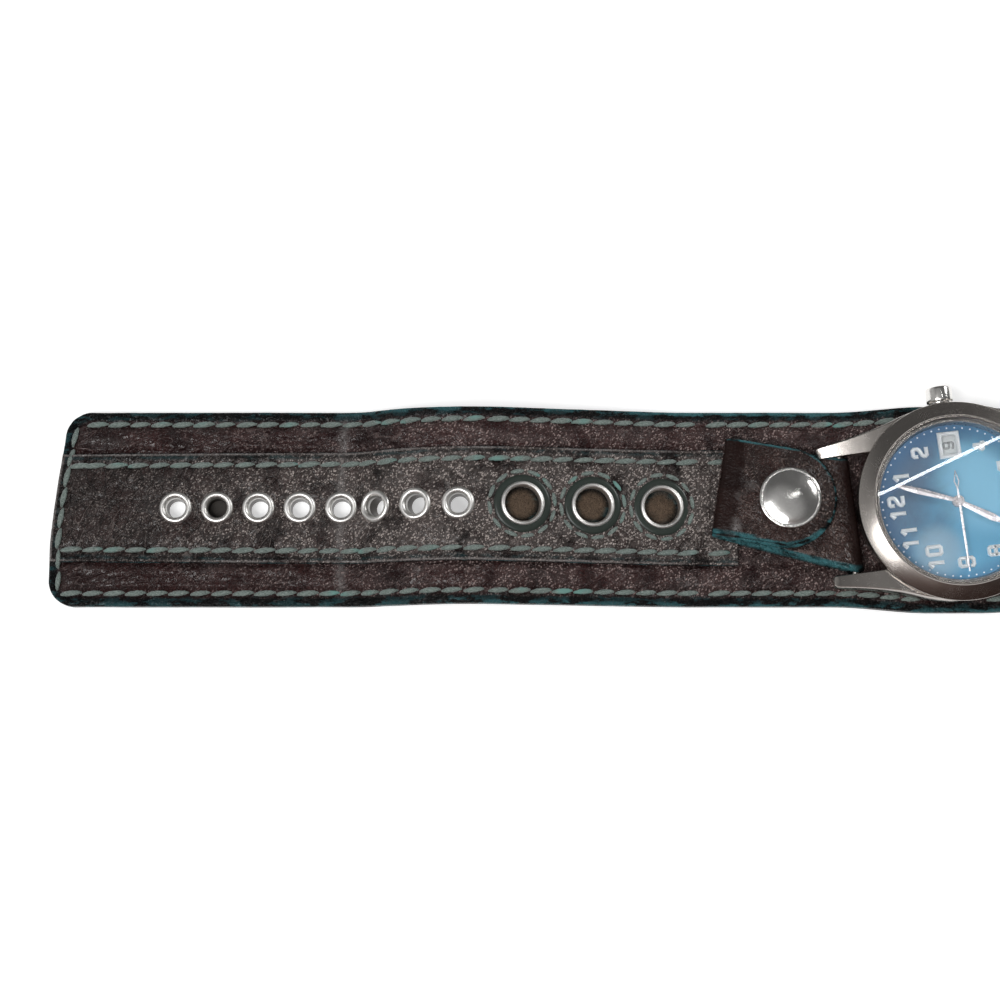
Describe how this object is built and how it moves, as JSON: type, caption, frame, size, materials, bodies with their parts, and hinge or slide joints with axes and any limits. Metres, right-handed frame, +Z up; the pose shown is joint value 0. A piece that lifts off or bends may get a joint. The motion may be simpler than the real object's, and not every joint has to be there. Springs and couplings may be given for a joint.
{
  "type": "cuff watch",
  "caption": "Wide leather cuff with a round analogue watch head held by snap tabs, eyelets along the strap and a tongue buckle.",
  "frame": {"origin": "on the table plane below the watch head, on the middle line of the cuff", "axes": "+X from the free tail towards the buckle, +Y towards the crown side, +Z up out of the dial"},
  "size_m": [0.273, 0.0466, 0.0115],
  "materials": {
    "wing_leather": "grained, waxed, dark burgundy brown",
    "strip_leather": "fine pebbled, dark grey brown, soft gloss",
    "lining_leather": "smooth, matte",
    "tab_leather": "grained, soft gloss, teal painted edges",
    "ring_leather": "smooth, dark grey green",
    "thread": "waxed, pale teal",
    "nickel": "worn nickel",
    "steel": "polished and brushed",
    "crystal_glass": "clear",
    "gasket_rubber": "matte",
    "dial_blue": "satin sky blue",
    "marker_silver": "polished",
    "hand_silver": "polished",
    "movement_brass": "nickel washed",
    "holder_plastic": "matte",
    "date_plastic": "matte white",
    "coil_copper": "enamelled copper wire",
    "board_plastic": "green board"
  },
  "bodies": {
    "head": {"pad_lining": "lining_leather", "pad_cover": "wing_leather", "pad_strip_ends": "strip_leather", "pad_thread": "thread", "long_tab_base": "tab_leather", "short_tab_base": "tab_leather", "snap_studs": "nickel", "snap_posts": "nickel", "case": "steel", "bezel": "steel", "crystal": "crystal_glass", "crystal_gasket": "gasket_rubber", "case_back": "steel", "back_gasket": "gasket_rubber", "dial": "dial_blue", "dial_markers": "marker_silver", "dial_ring": "steel", "spring_bars": "steel", "crown_tube": "steel", "movement_holder": "holder_plastic", "main_plate": "movement_brass", "train_bridge": "movement_brass", "battery": "steel", "circuit_board": "board_plastic", "coil": "coil_copper", "stator": "steel"},
    "mid_strap": {"mid_lining": "lining_leather", "mid_cover": "wing_leather", "mid_strip": "strip_leather", "mid_thread": "thread", "large_eyelets": "nickel", "large_eyelet_rings": "ring_leather"},
    "tail_strap": {"tail_lining": "lining_leather", "tail_cover": "wing_leather", "tail_strip": "strip_leather", "tail_thread": "thread", "small_eyelets": "nickel", "small_eyelet_washers": "nickel"},
    "buckle_strap": {"buckle_lining": "lining_leather", "buckle_cover": "wing_leather", "buckle_strip": "strip_leather", "buckle_thread": "thread", "keeper": "tab_leather", "buckle_bar": "steel"},
    "long_flap_body": {"long_flap": "tab_leather", "long_snap_cap": "nickel", "long_snap_socket": "nickel"},
    "short_flap_body": {"short_flap": "tab_leather", "short_snap_cap": "nickel", "short_snap_socket": "nickel"},
    "buckle": {"buckle_frame": "steel"},
    "tongue": {"buckle_tongue": "steel"},
    "stem_slide": {"crown_gasket": "gasket_rubber"},
    "crown_and_stem": {"crown": "steel", "winding_stem": "steel"},
    "hour": {"hour_hand": "hand_silver"},
    "minute": {"minute_hand": "hand_silver"},
    "second": {"second_hand": "hand_silver"},
    "date": {"date_ring": "date_plastic"},
    "motor": {"rotor": "steel"}
  },
  "joints": [
    {"name": "mid_bend", "type": "hinge", "parent": "head", "child": "mid_strap", "pos_m": [-0.051, 0, 0], "axis": [0, -1, 0], "range_deg": [0, 60]},
    {"name": "tail_bend", "type": "hinge", "parent": "mid_strap", "child": "tail_strap", "pos_m": [-0.09454, 0, 0.00657], "axis": [0, -1, 0], "range_deg": [0, 60]},
    {"name": "buckle_bend", "type": "hinge", "parent": "head", "child": "buckle_strap", "pos_m": [0.051, 0, 0], "axis": [0, 1, 0], "range_deg": [0, 60]},
    {"name": "long_flap_open", "type": "hinge", "parent": "head", "child": "long_flap_body", "pos_m": [-0.04753, 0.00392, 0.00545], "axis": [-0.1616, -0.9869, 0], "range_deg": [0, 145]},
    {"name": "short_flap_open", "type": "hinge", "parent": "head", "child": "short_flap_body", "pos_m": [0.04753, -0.00272, 0.00545], "axis": [0.1616, 0.9869, 0], "range_deg": [0, 145]},
    {"name": "buckle_swing", "type": "hinge", "parent": "buckle_strap", "child": "buckle", "pos_m": [0.073, 0, 0.0022], "axis": [0, -1, 0], "range_deg": [-45, 45]},
    {"name": "tongue_swing", "type": "hinge", "parent": "buckle", "child": "tongue", "pos_m": [0.073, 0, 0.0022], "axis": [0, -1, 0], "range_deg": [0, 70]},
    {"name": "crown_pull", "type": "slide", "parent": "head", "child": "stem_slide", "axis": [-0.1132, 0.9936, 0], "range_m": [0, 0.0012]},
    {"name": "crown_turn", "type": "hinge", "parent": "stem_slide", "child": "crown_and_stem", "pos_m": [0, 0.0006, 0.00605], "axis": [-0.1132, 0.9936, 0], "continuous": true},
    {"name": "minute_turn", "type": "hinge", "parent": "head", "child": "minute", "pos_m": [0, 0.0006, 0.0086], "axis": [0, 0, -1], "continuous": true},
    {"name": "hour_turn", "type": "hinge", "parent": "head", "child": "hour", "pos_m": [0, 0.0006, 0.0081], "axis": [0, 0, -1], "continuous": true},
    {"name": "date_turn", "type": "hinge", "parent": "head", "child": "date", "pos_m": [0, 0.0006, 0.0069], "axis": [0, 0, -1], "continuous": true},
    {"name": "second_turn", "type": "hinge", "parent": "head", "child": "second", "pos_m": [0, 0.0006, 0.0091], "axis": [0, 0, -1], "continuous": true},
    {"name": "motor_turn", "type": "hinge", "parent": "head", "child": "motor", "pos_m": [0.00477, -0.0059, 0.0055], "axis": [0, 0, -1], "continuous": true}
  ],
  "couplings": [
    {"joint": "hour_turn", "follows": "minute_turn", "ratio": 0.083333},
    {"joint": "date_turn", "follows": "minute_turn", "ratio": 0.0013441},
    {"joint": "motor_turn", "follows": "second_turn", "ratio": -30}
  ]
}
